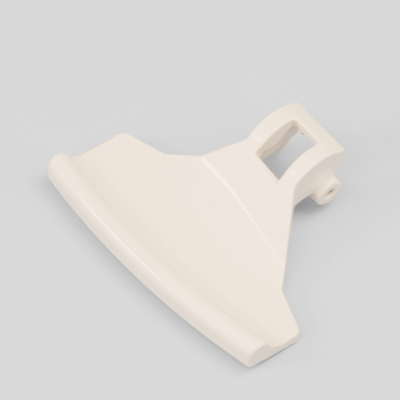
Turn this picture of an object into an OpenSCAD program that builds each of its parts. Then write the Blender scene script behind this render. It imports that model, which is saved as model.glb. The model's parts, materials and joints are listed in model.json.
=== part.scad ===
// Door handle of a washing machine, moulded in one piece: a curved grip with a rounded
// lip, a neck that ramps up from it, and a humped pivot arm with a window and two bosses.
// The origin is the middle of the pivot bore, with X along the bore, the grip towards -Y
// and +Z up. The handle lies as it rests, with its visible face up.

/* [Grip] */
// Radius of the front edge, seen from above
front_r = 283; // [240:1:400]
// How far the foremost point of the front edge lies in front of the pivot
front_reach = 66; // [64:0.5:72]
// How far the middle of the front arc lies to the left of the pivot arm
arc_shift = 16.8; // [8:0.2:20]
// Height of the front edge's underside
front_z = -6.3; // [-8:0.1:-5]
// Diameter of the rounded lip along the front edge
lip_d = 8; // [7:0.1:9]
// Height of the middle of the lip
lip_z = -0.7; // [-1.5:0.1:0]
// How far the front face leans back up to the lip
lip_lean = 0.1; // [0:0.1:1]
// Radius of the hollow behind the lip
lip_hollow_r = 7; // [5:0.1:9]
// Height of the valley floor
valley_z = -4.5; // [-5.5:0.1:-4]
// Distance from the front edge to where the surface starts to rise
rise_start = 20; // [18:0.5:23]
// Radius of the rising surface behind the valley
rise_r = 39; // [36:0.5:50]
// Distance from the front edge to where the rising surface ends, under the ramp
grip_depth = 44; // [43:0.5:46]
// Height of the underside
base_z = -9.8; // [-12:0.1:-9.4]
// Distance from the front edge to where the underside is flat
base_start = 20; // [14:0.5:24]

/* [Wings] */
// Left end of the front edge, from the middle of the arm
left_front_x = 52; // [46:0.2:60]
// Left rear corner, from the middle of the arm
left_rear_x = 48; // [44:0.2:56]
// Left rear corner, in front of the pivot
left_rear_y = 34.7; // [34:0.1:40]
// Right end of the front edge, from the middle of the arm
right_front_x = 45.4; // [42:0.2:55]
// Right rear corner, from the middle of the arm
right_rear_x = 46.5; // [42:0.2:55]
// Right rear corner, in front of the pivot
right_rear_y = 38.5; // [36:0.1:44]
// Rounding of the left rear corner
left_rear_r = 4; // [1:0.1:6]
// Rounding of the left front corner
left_front_r = 1.8; // [0.5:0.1:4]
// Rounding of the right rear corner
right_rear_r = 2.8; // [1:0.1:6]
// Rounding of the right front corner
right_front_r = 1; // [0.5:0.1:4]

/* [Neck] */
// Left corner between neck and wing, from the middle of the arm
left_neck_x = 31.7; // [29:0.1:35]
// Left corner between neck and wing, in front of the pivot
left_neck_y = 30.5; // [29:0.1:32]
// Left waist of the neck, from the middle of the arm
left_waist_x = 21.6; // [20:0.1:23]
// Left waist of the neck, in front of the pivot
left_waist_y = 23.6; // [22:0.1:25]
// Right corner between neck and wing, from the middle of the arm
right_neck_x = 31; // [28:0.1:35]
// Right corner between neck and wing, in front of the pivot
right_neck_y = 33.4; // [31:0.1:35]
// Rounding of the corners between neck and wings
neck_r = 2; // [0.5:0.5:5]
// Rounding of the waist
waist_r = 8; // [2:0.5:12]
// Slope of the ramp up to the arm
ramp_deg = 44; // [41:0.5:47]
// Where the underside starts to rise under the neck, in front of the pivot
neck_under_y = 33.6; // [31:0.1:38]

/* [Pivot arm] */
// Width of the arm
arm_w = 24; // [21:0.2:28]
// Radius of the arm's hump
hump_r = 14.4; // [13.6:0.1:15.4]
// How far the middle of the hump lies in front of the pivot axis
hump_y = 1.8; // [1:0.1:2.6]
// Height of the middle of the hump
hump_z = 3.6; // [3:0.1:4.5]
// Thickness of the hump's wall
hump_t = 4.2; // [3:0.1:5]
// Slope in which the hump runs out to the rear
hump_back_deg = 31; // [26:1:36]
// How far the arm's top reaches behind the pivot axis
arm_back = 8.6; // [8:0.1:9.6]
// Height of the upright rear edge
back_h = 3.5; // [2:0.1:5]
// Thickness of the ears
ear_t = 2.2; // [1.6:0.1:3]
// Radius of the ears round the pivot
ear_r = 5.3; // [5.2:0.1:6.5]
// Height of the ears' lower edge where they leave the neck
ear_root_z = 1; // [-1:0.1:2]
// Height to which the ears' lower edge would rise under the pivot axis
ear_low_z = 2.8; // [1.5:0.1:3.5]
// Width of the window
window_w = 12; // [8:0.2:16]
// Front edge of the window, in front of the pivot axis
window_front = 13; // [12.6:0.1:14]
// Rear edge of the window, behind the pivot axis
window_back = 2.7; // [1:0.1:4]
// Length of the slope that leads into the window
window_lead = 1.8; // [0.5:0.1:2.5]
// Fall of the slope that leads into the window
window_fall = 0.8; // [0.2:0.1:1.5]
// Height of the rear bar's lower edge
bar_z = 9.4; // [8.5:0.1:10.5]
// Thickness of the walls that hang down beside the window
skirt_t = 1.8; // [1.2:0.1:2.4]
// Height of their lower edge at the window's front edge
skirt_front_z = 10.3; // [9.5:0.1:11]
// Height of the lowest point of their lower edge
skirt_low_z = 8.1; // [7.8:0.1:9]
// Where their lower edge is lowest, in front of the pivot axis
skirt_low_y = 5.3; // [4:0.1:7]
// Where their lower edge runs out under the bar, behind the pivot axis
skirt_end_y = 1.4; // [0.5:0.1:2.5]

/* [Pivot] */
// Diameter of the pivot bore
bore_d = 4; // [3:0.1:5]
// Diameter of the bosses
boss_d = 10.2; // [9:0.1:11]
// How far each boss stands out of its ear
boss_l = 3.2; // [2:0.1:5]
// Radius of the hollow where a boss leaves its ear
boss_hollow_r = 1.8; // [0.5:0.1:1.9]

/* [Underside] */
// Thickness of the skin over the ribs
skin_t = 2.8; // [2:0.1:3.5]
// Thickness of the walls round the underside
wall_t = 2.6; // [2:0.1:3.5]
// Thickness of the ribs
rib_t = 1.6; // [1.2:0.1:2.4]
// Distance from rib to rib
rib_pitch = 8.8; // [7:0.1:11]
// Distance from the front edge to the ribbed hollow
front_solid = 13; // [12:0.5:18]
// Rounding of the ribbed hollow's corners
hollow_r = 1; // [0.5:0.1:2]
// Diameter of the gate mark under the rear bar
gate_d = 1.4; // [0.8:0.1:2]
// Length of the gate mark
gate_l = 1.6; // [0.8:0.1:2.5]
// How far the gate mark lies to the left of the arm's middle
gate_x = 3; // [0:0.5:5]

/* [Hidden] */
cream = [0.94, 0.895, 0.85];
$fn = 96;
sweep_fn = 720;
corner_steps = 8;
// The grip is revolved over this angle, which reaches past both wings
sweep_deg = 50;
// Far enough to reach past the whole handle
far = 150;
// How deep a solid runs into its neighbour
bite = 1;
// How far the rounding of a front corner crosses the faces on either side of it
corner_cross = 0.03;
// Rounding of the corners that stay sharp
sharp = 0.1;
// How far in front of the hump the neck ends
root_gap = 0.6;
// How much longer a wing's end line is drawn than it is, to reach past the front edge
end_stretch = 1.2;
// Where the channel's round starts at its front, seen from the middle of the hump
channel_start_deg = 160;

lip_r = lip_d / 2;
lip_mid = [lip_lean + lip_r, lip_z];
// The hollow behind the lip touches both the lip and the valley floor
hollow_z = valley_z + lip_hollow_r;
hollow_run = sqrt(pow(lip_r + lip_hollow_r, 2) - pow(hollow_z - lip_z, 2));
hollow_mid = [lip_mid.x + hollow_run, hollow_z];
rise_mid = [rise_start, valley_z + rise_r];

hump_mid = [-hump_y, hump_z];
// The ramp touches the hump here
ramp_top = on_hump(90 + ramp_deg);
// The slope behind the hump touches it here
back_start = on_hump(90 - hump_back_deg);
back_top = [arm_back, back_start.y - tan(hump_back_deg) * (arm_back - back_start.x)];
back_low = back_top - [0, back_h];
// The neck ends and the ears start just in front of the hump
root_y = ramp_top.x - root_gap;
ear_touch = ear_r * direction(
    atan2(back_low.y, back_low.x) - acos(ear_r / norm(back_low))
);
channel_r = hump_r - hump_t;
channel_w = arm_w - 2 * ear_t;
channel_front = -window_front;
rib_count = ceil(max(left_front_x, right_front_x) / rib_pitch);

function direction(a) = [cos(a), sin(a)];
function unit(v) = v / norm(v);
function on_hump(a) = hump_mid + hump_r * direction(a);

// Height of the ramp at a place y
function ramp_z(y) = ramp_top.y + tan(ramp_deg) * (y - ramp_top.x);

// Height of the hump's underside at a place y
function ceiling_z(y) = hump_z + sqrt(pow(channel_r, 2) - pow(y + hump_y, 2));

// Replaces each corner of an outline by an arc of its own radius
function rounded(points, radii) = [
    for (i = [0:len(points) - 1])
        let (
            p = points[i],
            u = unit(points[(i + len(points) - 1) % len(points)] - p),
            v = unit(points[(i + 1) % len(points)] - p),
            half = acos(u * v) / 2,
            mid = p + unit(u + v) * radii[i] / sin(half),
            from = p + u * radii[i] / tan(half) - mid,
            to = p + v * radii[i] / tan(half) - mid,
            start = atan2(from.y, from.x),
            turn = atan2(from.x * to.y - from.y * to.x, from * to)
        )
            for (step = [0:corner_steps])
                mid + radii[i] * direction(start + turn * step / corner_steps)
];

// Moves each side of an anticlockwise outline inwards by t
function inset(points, t) = [
    for (i = [0:len(points) - 1])
        let (
            p = points[i],
            u = unit(p - points[(i + len(points) - 1) % len(points)]),
            v = unit(points[(i + 1) % len(points)] - p),
            m = [-u.y, u.x],
            n = [-v.y, v.x]
        )
            p + t * (m + n) / (1 + m * n)
];

// A wing's end line, carried on past the front edge
function past_front(front_x, rear) = rear + end_stretch * ([front_x, -front_reach] - rear);

left_rear = [-left_rear_x, -left_rear_y];
right_rear = [right_rear_x, -right_rear_y];
// The fan of grip and neck from above, anticlockwise from its left front corner
corners = [
    past_front(-left_front_x, left_rear),
    past_front(right_front_x, right_rear),
    right_rear,
    [right_neck_x, -right_neck_y],
    [arm_w / 2, root_y],
    [-arm_w / 2, root_y],
    [-left_waist_x, -left_waist_y],
    [-left_neck_x, -left_neck_y],
    left_rear
];
corner_radii = [
    sharp, sharp, right_rear_r, neck_r, sharp, sharp, waist_r, neck_r, left_rear_r
];

arc_mid = [-arc_shift, front_r - front_reach];

// Middle of a rounding of radius r that touches the front arc and a wing's end line.
// The line runs from the rear corner along u, and n points from it into the fan.
function front_corner_mid(rear, u, n, r) =
    let (
        q = rear + n * r - arc_mid,
        run = sqrt(pow(q * u, 2) - q * q + pow(front_r - r, 2)) - q * u
    )
        rear + n * r + u * run;

// What a rounding of radius r takes off a front corner, from above
module front_corner_waste(front, rear, side, r) {
    u = unit(front - rear);
    n = side * [u.y, -u.x];
    mid = front_corner_mid(rear, u, n, r - corner_cross);
    forward = unit(mid - arc_mid);
    reach = 3 * r;
    difference() {
        polygon([
            mid,
            mid - n * reach,
            mid + (forward - n) * reach,
            mid + forward * reach
        ]);
        translate(mid)
            circle(r);
    }
}

// The fan of grip and neck from above
module fan_outline() {
    difference() {
        polygon(rounded(corners, corner_radii));
        front_corner_waste(corners[0], left_rear, -1, left_front_r);
        front_corner_waste(corners[1], right_rear, 1, right_front_r);
    }
}

// Turns a side view, drawn as [y, z], into a plate of width w across the arm
module across(w) {
    rotate([90, 0, 90])
        linear_extrude(w, center = true)
            children();
}

// Sweeps a section, drawn as [distance behind the front edge, z], along the front arc
module along_front() {
    translate([-arc_shift, front_r - front_reach, 0])
        rotate([0, 0, 270 - sweep_deg / 2])
            rotate_extrude(angle = sweep_deg, $fn = sweep_fn)
                translate([front_r, 0])
                    mirror([1, 0])
                        children();
}

// Rising part of the grip's section, with its top lowered by t and its foot at foot_z
module rise_section(t, foot_z) {
    difference() {
        translate([rise_start, foot_z])
            square([grip_depth - rise_start, rise_mid.y - rise_r / 2 - foot_z]);
        translate(rise_mid)
            circle(rise_r + t);
    }
}

module grip_section() {
    translate(lip_mid)
        circle(lip_r);
    difference() {
        polygon([
            [0, front_z],
            [base_start, base_z],
            [rise_start, base_z],
            [rise_start, valley_z],
            [hollow_mid.x, valley_z],
            hollow_mid,
            lip_mid,
            [lip_lean, lip_z]
        ]);
        translate(hollow_mid)
            circle(lip_hollow_r);
    }
    rise_section(0, base_z);
}

module hollow_section() {
    translate([front_solid, -far])
        square([rise_start - front_solid, valley_z - skin_t + far]);
    rise_section(skin_t, -far);
}

// Side view of the ramp, with its top lowered by t and its foot at foot_z
module ramp_side(t, foot_z) {
    drop = t / cos(ramp_deg);
    polygon([
        [-neck_under_y, foot_z],
        [root_y, foot_z],
        [root_y, ramp_z(root_y) - drop],
        [-neck_under_y, max(foot_z, ramp_z(-neck_under_y) - drop)]
    ]);
}

// Side view of the space under the neck
module under_neck_side() {
    slope = (ear_root_z - base_z) / (root_y + neck_under_y);
    run = 10;
    polygon([
        [-neck_under_y - run, base_z - run * slope],
        [root_y + run, ear_root_z + run * slope],
        [root_y + run, base_z - run * slope]
    ]);
}

module fan() {
    intersection() {
        translate([0, 0, -far / 2])
            linear_extrude(far)
                fan_outline();
        difference() {
            union() {
                along_front()
                    grip_section();
                across(far)
                    ramp_side(0, base_z);
            }
            across(far + bite)
                under_neck_side();
        }
    }
}

module ribs() {
    for (i = [-rib_count:rib_count])
        translate([i * rib_pitch - rib_t / 2, -far, -far])
            cube([rib_t, far, 2 * far]);
}

// The hollow under grip and neck, between the ribs
module ribbed_hollow() {
    difference() {
        intersection() {
            translate([0, 0, -far / 2])
                linear_extrude(far)
                    intersection() {
                        polygon(rounded(inset(corners, wall_t), [for (c = corners) hollow_r]));
                        translate([-far, channel_front - wall_t - far])
                            square([2 * far, far]);
                    }
            union() {
                along_front()
                    hollow_section();
                across(far)
                    ramp_side(skin_t, -far / 2);
            }
        }
        ribs();
    }
}

module arm_side() {
    // The hump
    intersection() {
        translate(hump_mid)
            circle(hump_r);
        polygon([
            hump_mid,
            hump_mid + 2 * hump_r * direction(90 - hump_back_deg),
            hump_mid + 2 * hump_r * direction(90 + ramp_deg)
        ]);
    }
    // The round of the ears
    circle(ear_r);
    polygon([
        hump_mid,
        ramp_top,
        [root_y, ramp_z(root_y)],
        [root_y - bite, ramp_z(root_y) - 2 * bite],
        [root_y - bite, ear_root_z + bite],
        [root_y, ear_root_z],
        [0, ear_low_z],
        [0, 0],
        ear_touch,
        back_low,
        back_top,
        back_start
    ]);
}

// Side view of the channel between the ears, open below and to the rear
module channel_side() {
    start = hump_mid + channel_r * direction(channel_start_deg);
    back_y = hump_mid.x + sqrt(pow(channel_r, 2) - pow(bar_z - hump_z, 2));
    translate(hump_mid)
        circle(channel_r);
    polygon([
        [channel_front, -far],
        [channel_front, start.y - (start.x - channel_front)],
        start,
        [back_y, bar_z],
        [far, bar_z],
        [far, -far]
    ]);
}

// Side view of the window, with the slope that leads into its front edge
module window_side() {
    lead_y = -window_front - window_lead;
    polygon([
        [lead_y, ramp_z(lead_y)],
        [-window_front, ramp_z(lead_y) - window_fall],
        [-window_front, 0],
        [window_back, 0],
        [window_back, far],
        [lead_y, far]
    ]);
}

// Both bosses, with the hollow round their feet kept to the ears' outline
module bosses() {
    rotate([0, 90, 0])
        cylinder(h = arm_w + 2 * boss_l, d = boss_d, center = true);
    intersection() {
        for (side = [0, 1])
            mirror([side, 0, 0])
                translate([arm_w / 2 - bite, 0, 0])
                    rotate([0, 90, 0])
                        rotate_extrude()
                            difference() {
                                square([boss_d / 2 + boss_hollow_r, bite + boss_hollow_r]);
                                translate([boss_d / 2 + boss_hollow_r, bite + boss_hollow_r])
                                    circle(boss_hollow_r);
                            }
        across(arm_w + 2 * boss_l)
            arm_side();
    }
}

// Both walls beside the window, which hang down from the hump's wall
module skirts() {
    for (side = [-1, 1])
        translate([side * (window_w + skirt_t) / 2, 0, 0])
            across(skirt_t)
                intersection() {
                    translate(hump_mid)
                        circle(channel_r + bite);
                    polygon([
                        [channel_front - bite, skirt_front_z],
                        [-skirt_low_y, skirt_low_z],
                        [skirt_end_y, ceiling_z(skirt_end_y)],
                        [skirt_end_y, far],
                        [channel_front - bite, far]
                    ]);
                }
}

module gate_mark() {
    place = window_back + gate_d / 2;
    translate([-gate_x, place, ceiling_z(place) - gate_l])
        cylinder(h = gate_l + bite, d = gate_d);
}

module handle() {
    color(cream) {
        difference() {
            union() {
                difference() {
                    fan();
                    ribbed_hollow();
                }
                across(arm_w)
                    arm_side();
                bosses();
            }
            across(channel_w)
                channel_side();
            across(window_w)
                window_side();
            rotate([0, 90, 0])
                cylinder(h = far, d = bore_d, center = true);
        }
        skirts();
        gate_mark();
    }
}

handle();
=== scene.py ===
"""Looks of a washing machine's door handle, moulded in one piece of cream plastic."""

import json
import math

import bpy
import numpy as np
from mathutils import Matrix, Vector


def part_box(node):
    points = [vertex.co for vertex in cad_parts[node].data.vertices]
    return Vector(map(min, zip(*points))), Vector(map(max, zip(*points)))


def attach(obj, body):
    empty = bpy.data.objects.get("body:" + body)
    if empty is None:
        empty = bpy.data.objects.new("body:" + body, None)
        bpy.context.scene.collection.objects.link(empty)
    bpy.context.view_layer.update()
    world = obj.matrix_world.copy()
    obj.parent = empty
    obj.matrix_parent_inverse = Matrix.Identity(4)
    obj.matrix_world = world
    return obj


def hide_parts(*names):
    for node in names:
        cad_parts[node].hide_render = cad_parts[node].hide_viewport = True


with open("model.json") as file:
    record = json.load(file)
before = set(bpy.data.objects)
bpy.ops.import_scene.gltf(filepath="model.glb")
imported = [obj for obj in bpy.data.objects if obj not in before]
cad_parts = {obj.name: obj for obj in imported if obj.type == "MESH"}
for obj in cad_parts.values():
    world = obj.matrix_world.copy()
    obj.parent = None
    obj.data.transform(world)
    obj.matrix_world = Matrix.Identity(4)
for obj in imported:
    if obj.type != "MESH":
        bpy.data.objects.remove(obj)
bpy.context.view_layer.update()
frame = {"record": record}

# All shape values are in millimetres, and the mesh is scaled to metres when it is made
MM = 0.001
low, high = (np.array(corner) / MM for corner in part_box("handle"))
bore = frame["record"]["mounts"][0]["dims"]

# Grip: a section revolved about the upright axis of the curved front edge
FRONT_R = 283
FRONT_REACH = -low[1]
ARC_SHIFT = 16.8
FRONT_Z = -6.3
LIP_R = 4
LIP_Z = -0.7
LIP_LEAN = 0.1
LIP_HOLLOW_R = 7
VALLEY_Z = -4.5
RISE_START = 20
RISE_R = 39
GRIP_DEPTH = 44
BASE_Z = low[2]
BASE_START = 20

# Wings, neck and arm, seen from above, and the radii of their corners
LEFT_FRONT = (-52, -FRONT_REACH)
LEFT_REAR = (-48, -34.7)
LEFT_NECK = (-31.7, -30.5)
LEFT_WAIST = (-21.6, -23.6)
RIGHT_FRONT = (45.4, -FRONT_REACH)
RIGHT_REAR = (46.5, -38.5)
RIGHT_NECK = (31, -33.4)
LEFT_REAR_R = 4
RIGHT_REAR_R = 2.8
NECK_R = 2
WAIST_R = 8
ARM_BACK_R = 0.8
ARM_W = 24
ARM_BACK = high[1]
ROOT_AHEAD = 0.6
RAMP_DEG = 44
NECK_UNDER_Y = 33.6

# The wings' end lines run on to this share of their length, past the front edge that cuts them
PAST_FRONT = 1.2
PAST_FRONT_R = 0.1

# Pivot arm, seen from the side
HUMP_MID = (-1.8, 3.6)
HUMP_R = 14.4
HUMP_T = 4.2
HUMP_BACK_DEG = 31
CHANNEL_START_DEG = 160
BACK_H = 3.5
EAR_T = 2.2
EAR_R = 5.3
EAR_ROOT_Z = 1
EAR_LOW_Z = 2.8
WINDOW_W = 12
WINDOW_FRONT = -13
WINDOW_BACK = 2.7
WINDOW_LEAD = (1.2, 2.5)
WINDOW_LEAD_DEG = 22
BAR_Z = 9.4
SKIRT_EDGE = ((-14, 10.3), (-5.3, 8.1))
SKIRT_END_Y = 1.4
SIDE_WALL_IN = 8
SIDE_WALL_COVER = 0.5
SIDE_WALL_AHEAD = 4
SIDE_WALL_LOW = ((-9, 0.4), (6, 2.4))
GATE_R = 0.7
GATE_L = 1.6
GATE_AT = (-3, WINDOW_BACK + GATE_R)
BORE_R = bore["r_mm"]
BOSS_R = 5.1
BOSS_END = bore["length_mm"] / 2
BOSS_HOLLOW_R = 1.2
BOSS_EDGE_R = 0.9
FLARE_MID = (-1.6, 4.4)
FLARE_R = 8
FLARE_H = 2.8

# Underside
SKIN_T = 2.8
WALL_T = 2.6
RIB_T = 1.6
RIB_PITCH = 8.8
FRONT_SOLID = 13

# How far a shape runs into its neighbour
OVERLAP = 1

# Roundings of the edges
EDGE_R = 0.7
LEFT_FRONT_R = 1.8
RIGHT_FRONT_R = 1.2
LOW_EDGE_R = 0.5
BASE_EDGE_R = 1
HOLLOW_EDGE_R = 0.8
RIB_FOOT_R = 0.3
RIB_EDGE_R = 0.3
CHANNEL_EDGE_R = 0.8
GATE_EDGE_R = 0.3
WINDOW_EDGE_R = 0.8
WINDOW_CORNER_R = 1.5
WINDOW_LEAD_R = 0.5
INNER_EDGE_R = 0.4
BORE_EDGE_R = 0.25
CREASE_BLEND = 0.16

# Distances behind the front edge between which the two front corners' own radii fade in
FRONT_FADE = (3, 0.5)

# Fineness of the mesh, and the slices that it is worked out in
CELL = 0.45
MARGIN = 2.0
SLICES = 12


def direction(deg):
    """Unit vector at an angle in degrees."""
    return np.array([math.cos(math.radians(deg)), math.sin(math.radians(deg))])


def unit(v):
    return v / np.linalg.norm(v)


def round_and(a, b, r):
    """Where two solids overlap, with the edge between them rounded to radius r."""
    corner = np.hypot(np.maximum(a + r, 0), np.maximum(b + r, 0))
    return np.minimum(np.maximum(a, b), -r) + corner


def round_or(a, b, r):
    """Two solids together, with a hollow of radius r where they meet."""
    return -round_and(-a, -b, r)


def soft_or(a, b, width):
    """Two solids together, whose nearly parallel faces run into each other softly."""
    near = np.maximum(width - np.abs(a - b), 0) / width
    return np.minimum(a, b) - near * near * width / 4


def smooth_step(v, start, end):
    t = np.clip((v - start) / (end - start), 0, 1)
    return t * t * (3 - 2 * t)


def disc(u, v, mid, r):
    return np.hypot(u - mid[0], v - mid[1]) - r


def half_plane(u, v, point, deg):
    """Distance past a straight edge through a point, which faces the angle deg."""
    n = direction(deg)
    return (u - point[0]) * n[0] + (v - point[1]) * n[1]


def line_deg(a, b):
    """Angle that the right-hand side of the line from a to b faces."""
    return math.degrees(math.atan2(b[1] - a[1], b[0] - a[0])) - 90


def rounded(corners, step_deg=3):
    """Outline through corners (x, y, radius), each replaced by an arc."""
    points = []
    for i, (x, y, r) in enumerate(corners):
        p = np.array([x, y])
        before = unit(np.array(corners[i - 1][:2]) - p)
        after = unit(np.array(corners[(i + 1) % len(corners)][:2]) - p)
        half = math.acos(before @ after) / 2
        mid = p + unit(before + after) * r / math.sin(half)
        start = p + before * r / math.tan(half) - mid
        end = p + after * r / math.tan(half) - mid
        angle = math.atan2(start[1], start[0])
        turn = math.atan2(start[0] * end[1] - start[1] * end[0], start @ end)
        steps = max(1, math.ceil(abs(math.degrees(turn)) / step_deg))
        for s in np.linspace(0, turn, steps + 1):
            points.append(mid + r * np.array([math.cos(angle + s), math.sin(angle + s)]))
    return np.array(points)


def polygon(u, v, points):
    """Signed distance to a closed outline, negative inside."""
    best = np.full(np.broadcast(u, v).shape, np.inf)
    inside = np.zeros(best.shape, bool)
    for (au, av), (bu, bv) in zip(points, np.roll(points, -1, axis=0)):
        eu, ev = bu - au, bv - av
        t = np.clip(((u - au) * eu + (v - av) * ev) / (eu * eu + ev * ev), 0, 1)
        best = np.minimum(best, (u - au - t * eu) ** 2 + (v - av - t * ev) ** 2)
        if av != bv:
            inside ^= ((av > v) != (bv > v)) & (u < au + eu * (v - av) / ev)
    return np.where(inside, -1, 1) * np.sqrt(best)


def past_front(front, rear):
    """A wing's end line, carried on past the front edge."""
    return np.array(rear) + PAST_FRONT * (np.array(front) - np.array(rear))


ramp_top = np.array(HUMP_MID) + HUMP_R * direction(90 + RAMP_DEG)
back_start = np.array(HUMP_MID) + HUMP_R * direction(90 - HUMP_BACK_DEG)
back_drop = math.tan(math.radians(HUMP_BACK_DEG)) * (ARM_BACK - back_start[0])
back_low = np.array([ARM_BACK, back_start[1] - back_drop - BACK_H])
root_y = ramp_top[0] - ROOT_AHEAD
ear_touch_deg = math.degrees(
    math.atan2(back_low[1], back_low[0]) - math.acos(EAR_R / np.linalg.norm(back_low))
)
channel_r = HUMP_R - HUMP_T
channel_w = ARM_W - 2 * EAR_T
channel_start = np.array(HUMP_MID) + channel_r * direction(CHANNEL_START_DEG)
lip_mid = np.array([LIP_LEAN + LIP_R, LIP_Z])
hollow_rise = VALLEY_Z + LIP_HOLLOW_R - LIP_Z
hollow_mid = lip_mid + np.array(
    [math.sqrt((LIP_R + LIP_HOLLOW_R) ** 2 - hollow_rise**2), hollow_rise]
)

PLAN = rounded([
    (*past_front(LEFT_FRONT, LEFT_REAR), PAST_FRONT_R),
    (*past_front(RIGHT_FRONT, RIGHT_REAR), PAST_FRONT_R),
    (*RIGHT_REAR, RIGHT_REAR_R),
    (*RIGHT_NECK, NECK_R),
    (ARM_W / 2, root_y, NECK_R),
    (ARM_W / 2, ARM_BACK, ARM_BACK_R),
    (-ARM_W / 2, ARM_BACK, ARM_BACK_R),
    (-ARM_W / 2, root_y, NECK_R),
    (*LEFT_WAIST, WAIST_R),
    (*LEFT_NECK, NECK_R),
    (*LEFT_REAR, LEFT_REAR_R),
])


def front_distance(x, y):
    """Distance behind the curved front edge."""
    return FRONT_R - np.hypot(x + ARC_SHIFT, y - (FRONT_R - FRONT_REACH))


def grip_top(d, z):
    """Front face, lip, hollow, valley and rise, as one smooth surface."""
    lean = LIP_LEAN * np.clip((LIP_Z - z) / (LIP_Z - FRONT_Z), 0, 1)
    across = d - lip_mid[0] + lean
    across = np.where(z < LIP_Z, np.minimum(across, 0), across)
    lip = np.hypot(across, np.maximum(z - LIP_Z, 0)) - LIP_R
    hollow = -disc(d, z, hollow_mid, LIP_HOLLOW_R)
    rise = -disc(d, z, (RISE_START, VALLEY_Z + RISE_R), RISE_R)
    join = half_plane(d, z, lip_mid, line_deg(lip_mid, hollow_mid))
    surface = np.where((d > lip_mid[0]) & (join > 0), hollow, lip)
    surface = np.where(d > hollow_mid[0], z - VALLEY_Z, surface)
    surface = np.where(d > RISE_START, rise, surface)
    return np.maximum(surface, d - GRIP_DEPTH)


def arm_top(y, z):
    """Ramp, hump and rear slope, as one smooth surface."""
    hump = disc(y, z, HUMP_MID, HUMP_R)
    ramp = half_plane(y, z, ramp_top, 90 + RAMP_DEG)
    slope = half_plane(y, z, back_start, 90 - HUMP_BACK_DEG)
    ahead = half_plane(y, z, HUMP_MID, 180 + RAMP_DEG)
    behind = half_plane(y, z, HUMP_MID, -HUMP_BACK_DEG)
    return np.where(ahead > 0, ramp, np.where(behind > 0, slope, hump))


def ear_low(y, z):
    """Lower edge and round of the ears."""
    root, under_pin = (root_y, EAR_ROOT_Z), (0, EAR_LOW_Z)
    edge = half_plane(y, z, root, line_deg(root, under_pin))
    back = half_plane(y, z, back_low, ear_touch_deg)
    return np.minimum(disc(y, z, (0, 0), EAR_R), np.maximum(edge, back))


def underside(d, y, z):
    front = half_plane(d, z, (0, FRONT_Z), line_deg((0, FRONT_Z), (BASE_START, BASE_Z)))
    neck_line = ((-NECK_UNDER_Y, BASE_Z), (root_y, EAR_ROOT_Z))
    neck = half_plane(y, z, neck_line[0], line_deg(*neck_line))
    base = round_and(front, BASE_Z - z, BASE_EDGE_R)
    return np.maximum(base, np.minimum(neck, ear_low(y, z)))


def ribbed_hollow(top, plan, d, x, y):
    """The open space under grip and neck, between the ribs."""
    space = round_and(top + SKIN_T, plan + WALL_T, HOLLOW_EDGE_R)
    space = round_and(space, FRONT_SOLID - d, HOLLOW_EDGE_R)
    space = round_and(space, y - (WINDOW_FRONT - WALL_T), HOLLOW_EDGE_R)
    rib = np.abs((x + RIB_PITCH / 2) % RIB_PITCH - RIB_PITCH / 2) - RIB_T / 2
    return round_and(space, -rib, RIB_FOOT_R)


def channel(x, y, z):
    """The open space between the ears."""
    back_y = HUMP_MID[0] + math.sqrt(channel_r**2 - (BAR_Z - HUMP_MID[1]) ** 2)
    far = 60
    outline = np.array([
        (WINDOW_FRONT, -far),
        (far, -far),
        (far, BAR_Z),
        (back_y, BAR_Z),
        channel_start,
        (WINDOW_FRONT, channel_start[1] - (channel_start[0] - WINDOW_FRONT)),
    ])
    side = np.minimum(polygon(y, z, outline), disc(y, z, HUMP_MID, channel_r))
    return round_and(side, np.abs(x) - channel_w / 2, CHANNEL_EDGE_R)


def between(x, inner, outer):
    """Distance out of the two slabs that lie between inner and outer on each side."""
    return np.abs(np.abs(x) - (inner + outer) / 2) - (outer - inner) / 2


def ceiling_z(y):
    return HUMP_MID[1] + math.sqrt(channel_r**2 - (y - HUMP_MID[0]) ** 2)


def skirts(x, y, z):
    """Both walls beside the window, which hang down from the hump's wall."""
    top = 40
    outline = np.array([
        SKIRT_EDGE[0],
        SKIRT_EDGE[1],
        (SKIRT_END_Y, ceiling_z(SKIRT_END_Y)),
        (SKIRT_END_Y, top),
        (SKIRT_EDGE[0][0], top),
    ])
    side = np.maximum(polygon(y, z, outline), disc(y, z, HUMP_MID, channel_r + OVERLAP))
    across = between(x, WINDOW_W / 2 - OVERLAP, SIDE_WALL_IN + OVERLAP)
    return round_and(side, across, INNER_EDGE_R)


def side_walls(x, y, z):
    """The arm's walls, which are thicker than the ears' rounds that hang below them."""
    low_edge = half_plane(y, z, SIDE_WALL_LOW[0], line_deg(*SIDE_WALL_LOW))
    back = half_plane(y, z, back_low, ear_touch_deg)
    front = channel_start[0] - SIDE_WALL_AHEAD - y
    side = np.maximum(np.maximum(arm_top(y, z), back), np.maximum(low_edge, front))
    across = between(x, SIDE_WALL_IN, ARM_W / 2 - SIDE_WALL_COVER)
    return round_and(side, across, INNER_EDGE_R)


def gate_mark(x, y, z):
    """Stub left under the bar where the mould was filled."""
    radial = np.hypot(x - GATE_AT[0], y - GATE_AT[1]) - GATE_R
    ceiling = ceiling_z(GATE_AT[1])
    stub = round_and(radial, ceiling - GATE_L - z, GATE_EDGE_R)
    return np.maximum(stub, z - ceiling - OVERLAP)


def window(x, y, z):
    across = np.abs(x) - WINDOW_W / 2
    rear = round_and(across, y - WINDOW_BACK, WINDOW_CORNER_R)
    return np.maximum(np.maximum(rear, WINDOW_FRONT - y), -z)


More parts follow.
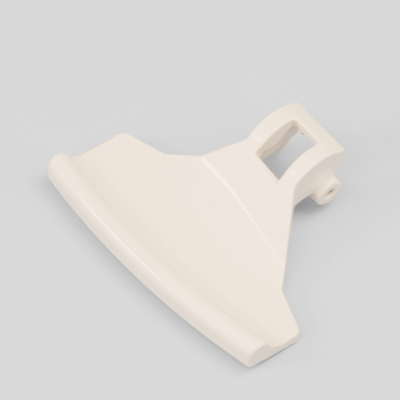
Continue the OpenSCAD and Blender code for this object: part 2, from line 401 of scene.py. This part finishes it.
def window_lead(x, y, z):
    """The space over the lead-in at the window's front edge, which is longer on the right."""
    share = np.clip(x / WINDOW_W + 0.5, 0, 1)
    start_y = WINDOW_FRONT - WINDOW_LEAD[0] - share * (WINDOW_LEAD[1] - WINDOW_LEAD[0])
    ramp = half_plane(y, z, ramp_top, 90 + RAMP_DEG)
    start_z = ramp_top[1] - math.tan(math.radians(RAMP_DEG)) * (ramp_top[0] - start_y)
    slope = half_plane(y, z, (start_y, start_z), 90 - WINDOW_LEAD_DEG)
    rolled = round_and(ramp, slope, WINDOW_LEAD_R)
    limit = np.maximum(start_y - WINDOW_LEAD_R - y, y - WINDOW_FRONT - OVERLAP)
    return np.maximum(np.maximum(-rolled, limit), np.abs(x) - WINDOW_W / 2)


def bosses(x, y, z):
    """Both bosses, whose feet flare out into the ears, mostly on their upper side."""
    radial = np.hypot(y, z)
    post = round_and(radial - BOSS_R, np.abs(x) - BOSS_END, BOSS_EDGE_R)
    flare = FLARE_H * np.maximum(-disc(y, z, FLARE_MID, FLARE_R) / FLARE_R, 0) ** 2
    foot = round_or(np.abs(x) - ARM_W / 2 - flare, radial - BOSS_R, BOSS_HOLLOW_R)
    foot = np.maximum(foot, np.abs(x) - BOSS_END + BOSS_EDGE_R)
    ear = round_and(arm_top(y, z), ear_low(y, z), LOW_EDGE_R)
    return np.minimum(post, round_and(foot, ear, LOW_EDGE_R))


def handle(x, y, z):
    """Signed distance to the whole handle's surface, in millimetres, negative inside."""
    d = front_distance(x, y)
    plan = polygon(x, y, PLAN)
    top = soft_or(grip_top(d, z), arm_top(y, z), CREASE_BLEND)
    front_r = np.where(x < 0, LEFT_FRONT_R, RIGHT_FRONT_R)
    edge_r = EDGE_R + (front_r - EDGE_R) * smooth_step(d, *FRONT_FADE)
    solid = round_and(top, plan, edge_r)
    solid = round_and(solid, underside(d, y, z), LOW_EDGE_R)
    solid = round_and(solid, -ribbed_hollow(top, plan, d, x, y), RIB_EDGE_R)
    solid = np.minimum(solid, bosses(x, y, z))
    solid = round_and(solid, -channel(x, y, z), INNER_EDGE_R)
    solid = np.minimum(solid, side_walls(x, y, z))
    solid = np.minimum(solid, skirts(x, y, z))
    solid = np.maximum(solid, -window_lead(x, y, z))
    solid = round_and(solid, -window(x, y, z), WINDOW_EDGE_R)
    solid = np.minimum(solid, gate_mark(x, y, z))
    return round_and(solid, BORE_R - np.hypot(y, z), BORE_EDGE_R)


def surface_net(distance):
    """Vertices and quads of the surface where distance(x, y, z) is zero."""
    axes = [np.arange(low[i] - MARGIN, high[i] + MARGIN, CELL) for i in range(3)]
    x, y, z = axes
    field = np.concatenate(
        [distance(part[:, None, None], y[None, :, None], z[None, None, :])
         for part in np.array_split(x, SLICES)]
    )
    inside = field < 0
    shape = np.array(field.shape) - 1
    offsets = np.array([(i, j, k) for i in (0, 1) for j in (0, 1) for k in (0, 1)])
    count = sum(
        inside[i:shape[0] + i, j:shape[1] + j, k:shape[2] + k].astype(np.int8)
        for i, j, k in offsets
    )
    cells = np.argwhere((count > 0) & (count < len(offsets)))
    number = np.full(shape, -1)
    number[tuple(cells.T)] = np.arange(len(cells))
    at = cells[:, None, :] + offsets
    values = field[at[..., 0], at[..., 1], at[..., 2]]
    total = np.zeros((len(cells), 3))
    hits = np.zeros((len(cells), 1))
    for a in range(len(offsets)):
        for b in range(a + 1, len(offsets)):
            if np.abs(offsets[a] - offsets[b]).sum() != 1:
                continue
            va, vb = values[:, a, None], values[:, b, None]
            crossed = (va < 0) != (vb < 0)
            t = np.where(crossed, va / np.where(crossed, va - vb, 1), 0)
            total += crossed * (offsets[a] + t * (offsets[b] - offsets[a]))
            hits += crossed
    origin = np.array([axis[0] for axis in axes])
    vertices = origin + CELL * (cells + total / hits)
    around = ((1, 1), (0, 1), (0, 0), (1, 0))
    quads = []
    for axis in range(3):
        first = np.take(inside, range(field.shape[axis] - 1), axis)
        second = np.take(inside, range(1, field.shape[axis]), axis)
        edges = np.argwhere(first != second)
        u, v = np.eye(3, dtype=int)[[(axis + 1) % 3, (axis + 2) % 3]]
        ring = np.stack([number[tuple((edges - s * u - t * v).T)] for s, t in around], 1)
        outward = first[tuple(edges.T)]
        quads.append(np.where(outward[:, None], ring, ring[:, ::-1]))
    return vertices, np.concatenate(quads)


def gradient(distance, points, step=0.02):
    """Distances at the points, and how fast they change along each axis."""
    x, y, z = points.T
    here = distance(x, y, z)
    moved = [distance(x + step, y, z), distance(x, y + step, z), distance(x, y, z + step)]
    return here, np.stack([(there - here) / step for there in moved], 1)


def settle(distance, vertices, quads, rounds=3, pull=0.5, least_slope=0.25):
    """Evens out the vertices and draws them back onto the surface."""
    edges = np.concatenate([quads[:, [i, (i + 1) % 4]] for i in range(4)])
    degree = np.bincount(edges[:, 0], minlength=len(vertices))[:, None]
    for _ in range(rounds):
        total = np.stack(
            [np.bincount(edges[:, 0], vertices[edges[:, 1], i], len(vertices)) for i in range(3)], 1
        )
        vertices = vertices + pull * (total / degree - vertices)
        value, slope = gradient(distance, vertices)
        steepness = np.maximum((slope**2).sum(1, keepdims=True), least_slope)
        step = value[:, None] * slope / steepness
        vertices = vertices - np.clip(step, -CELL / 2, CELL / 2)
    return vertices


def make_handle():
    vertices, quads = surface_net(handle)
    vertices = settle(handle, vertices, quads)
    vertices = np.clip(vertices, low, high)
    mesh = bpy.data.meshes.new("moulded_handle")
    mesh.from_pydata((vertices * MM).tolist(), [], quads.tolist())
    mesh.polygons.foreach_set("use_smooth", [True] * len(mesh.polygons))
    mesh.update()
    piece = bpy.data.objects.new("moulded_handle", mesh)
    bpy.context.scene.collection.objects.link(piece)
    return piece


class Sock:
    """A shader socket whose arithmetic adds Math nodes."""

    def __init__(self, tree, socket):
        self.tree = tree
        self.socket = socket

    def math(self, operation, *values):
        return self.tree.node("ShaderNodeMath", {"operation": operation}, dict(enumerate(values)))

    def __add__(self, other):
        return self.math("ADD", self, other)

    def __radd__(self, other):
        return self.math("ADD", other, self)

    def __mul__(self, other):
        return self.math("MULTIPLY", self, other)

    def __rmul__(self, other):
        return self.math("MULTIPLY", other, self)


# Places of the Mix node's colour sockets in its lists
MIX_SHARE = 0
MIX_FIRST = 6
MIX_SECOND = 7
MIX_RESULT = 2


class Finish:
    """A material whose nodes are added one call at a time."""

    def __init__(self, name):
        self.material = bpy.data.materials.new(name)
        self.material.use_nodes = True
        self.nodes = self.material.node_tree.nodes
        self.links = self.material.node_tree.links
        self.shader = self.nodes["Principled BSDF"]
        self.place = self.node("ShaderNodeTexCoord", output="Object")

    def node(self, kind, settings=None, values=None, output=0):
        made = self.nodes.new(kind)
        for key, value in (settings or {}).items():
            setattr(made, key, value)
        for key, value in (values or {}).items():
            self.plug(made.inputs[key], value)
        return Sock(self, made.outputs[output])

    def plug(self, socket, value):
        if isinstance(value, Sock):
            self.links.new(value.socket, socket)
        else:
            socket.default_value = value

    def noise(self, scale, detail):
        """Noise over the piece, with its scale as lumps to a metre."""
        values = {"Vector": self.place, "Scale": scale, "Detail": detail}
        return self.node("ShaderNodeTexNoise", {}, values)

    def mix(self, share, first, second):
        """Colour between two colours."""
        values = {MIX_SHARE: share, MIX_FIRST: (*first, 1), MIX_SECOND: (*second, 1)}
        return self.node("ShaderNodeMix", {"data_type": "RGBA"}, values, MIX_RESULT)

    def set(self, **values):
        for key, value in values.items():
            self.plug(self.shader.inputs[key.replace("_", " ").title()], value)


# Finish of the plastic, which is duller from the end of the ramp on
CREAM_DARK = (0.71, 0.625, 0.52)
CREAM_LIGHT = (0.74, 0.655, 0.55)
ROUGHNESS = 0.17
CLOUD_ROUGHNESS = 0.06
ARM_ROUGHNESS = 0.12
DULL_FROM_Y = -18
DULL_Y = -12
RIPPLE_HEIGHT = 2.0
BUMP_HEIGHT = 0.05
BUMP_STRENGTH = 0.08
REFRACTION = 1.5


def cream_plastic():
    """Semi-gloss cream plastic, with the faint unevenness of a moulding."""
    finish = Finish("cream_plastic")
    clouds = finish.noise(scale=45.0, detail=2.0)
    ripples = finish.noise(scale=260.0, detail=2.0)
    grain = finish.noise(scale=1800.0, detail=3.0)
    skin = finish.node(
        "ShaderNodeBump",
        {},
        {
            "Strength": BUMP_STRENGTH,
            "Distance": BUMP_HEIGHT * MM,
            "Height": grain + ripples * RIPPLE_HEIGHT,
        },
    )
    rearward = finish.node("ShaderNodeSeparateXYZ", {}, {"Vector": finish.place}, output="Y")
    arm = finish.node(
        "ShaderNodeMapRange",
        {"interpolation_type": "SMOOTHSTEP"},
        {"Value": rearward, "From Min": DULL_FROM_Y * MM, "From Max": DULL_Y * MM},
    )
    finish.set(
        base_color=finish.mix(clouds, CREAM_DARK, CREAM_LIGHT),
        roughness=ROUGHNESS + CLOUD_ROUGHNESS * clouds + ARM_ROUGHNESS * arm,
        normal=skin,
    )
    finish.shader.inputs["IOR"].default_value = REFRACTION
    return finish.material


# Floor, with its half width in metres
FLOOR_HALF = 3.0
FLOOR_DARK = (0.27, 0.34, 0.50)
FLOOR_LIGHT = (0.28, 0.35, 0.51)
FLOOR_ROUGHNESS = 0.7
MOTTLE_ROUGHNESS = 0.1


def pale_floor():
    """Matt floor, whose blue cast makes it grey under the warm lamps."""
    finish = Finish("pale_floor")
    mottle = finish.noise(scale=30.0, detail=3.0)
    finish.set(
        base_color=finish.mix(mottle, FLOOR_DARK, FLOOR_LIGHT),
        roughness=FLOOR_ROUGHNESS + MOTTLE_ROUGHNESS * mottle,
    )
    return finish.material


def make_floor():
    mesh = bpy.data.meshes.new("floor")
    half = FLOOR_HALF
    corners = [(-half, -half), (half, -half), (half, half), (-half, half)]
    mesh.from_pydata([(x, y, BASE_Z * MM) for x, y in corners], [], [(0, 1, 2, 3)])
    floor = bpy.data.objects.new("floor", mesh)
    bpy.context.scene.collection.objects.link(floor)
    floor.data.materials.append(pale_floor())


def towards(azimuth, elevation):
    """Unit vector from the pivot towards a heading, taken from the front, and a height."""
    a, e = math.radians(azimuth), math.radians(elevation)
    return Vector((math.sin(a) * math.cos(e), -math.cos(a) * math.cos(e), math.sin(e)))


# The photograph's view: where the camera stands as seen from the pivot
VIEW_AZIMUTH = 50.46
VIEW_ELEVATION = 58.3
VIEW_DISTANCE = 1500
PIVOT_PIXEL = (299.5, 163.3)
PIXELS_PER_MM = 3.09
IMAGE_PIXELS = 400
SENSOR_MM = 36
FAR_CLIP = 20000


def make_camera():
    azimuth = math.radians(VIEW_AZIMUTH)
    back = towards(VIEW_AZIMUTH, VIEW_ELEVATION)
    right = Vector((math.cos(azimuth), math.sin(azimuth), 0))
    up = back.cross(right)
    aside = (PIVOT_PIXEL[0] - IMAGE_PIXELS / 2) / PIXELS_PER_MM
    above = (IMAGE_PIXELS / 2 - PIVOT_PIXEL[1]) / PIXELS_PER_MM
    data = bpy.data.cameras.new("camera")
    data.sensor_width = SENSOR_MM
    data.lens = SENSOR_MM * PIXELS_PER_MM * VIEW_DISTANCE / IMAGE_PIXELS
    data.clip_end = FAR_CLIP * MM
    camera = bpy.data.objects.new("camera", data)
    bpy.context.scene.collection.objects.link(camera)
    turn = Matrix((right, up, back)).transposed()
    place = (back * VIEW_DISTANCE - right * aside - up * above) * MM
    camera.matrix_world = Matrix.Translation(place) @ turn.to_4x4()
    bpy.context.scene.camera = camera


# Studio light: sizes and distances in metres, powers in watts
LIGHT_TINT = (1.0, 0.80, 0.56)
LAMP_DISTANCE = 1.8
WORLD_STRENGTH = 0.03


def soft_light(name, azimuth, elevation, size, power):
    """A square lamp that shines at the handle from a heading and a height."""
    away = towards(azimuth, elevation)
    data = bpy.data.lights.new(name, "AREA")
    data.size = size
    data.energy = power
    data.color = LIGHT_TINT
    lamp = bpy.data.objects.new(name, data)
    bpy.context.scene.collection.objects.link(lamp)
    lamp.location = away * LAMP_DISTANCE
    lamp.rotation_mode = "QUATERNION"
    lamp.rotation_quaternion = away.to_track_quat("Z", "Y")


def make_light():
    world = bpy.data.worlds.new("studio")
    bpy.context.scene.world = world
    world.use_nodes = True
    sky = world.node_tree.nodes["Background"]
    sky.inputs["Color"].default_value = (*LIGHT_TINT, 1)
    sky.inputs["Strength"].default_value = WORLD_STRENGTH
    soft_light("top", azimuth=0, elevation=70, size=1.2, power=72)
    soft_light("front", azimuth=-10, elevation=25, size=1.2, power=60)
    soft_light("rear", azimuth=150, elevation=70, size=0.9, power=98)
    soft_light("right", azimuth=110, elevation=45, size=1.0, power=28)
    soft_light("back", azimuth=150, elevation=45, size=1.0, power=20)
    soft_light("glint", azimuth=-29, elevation=34, size=0.34, power=36)


make_camera()
make_light()
make_floor()
moulded = make_handle()
moulded.data.materials.append(cream_plastic())
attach(moulded, "root")
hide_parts("handle")
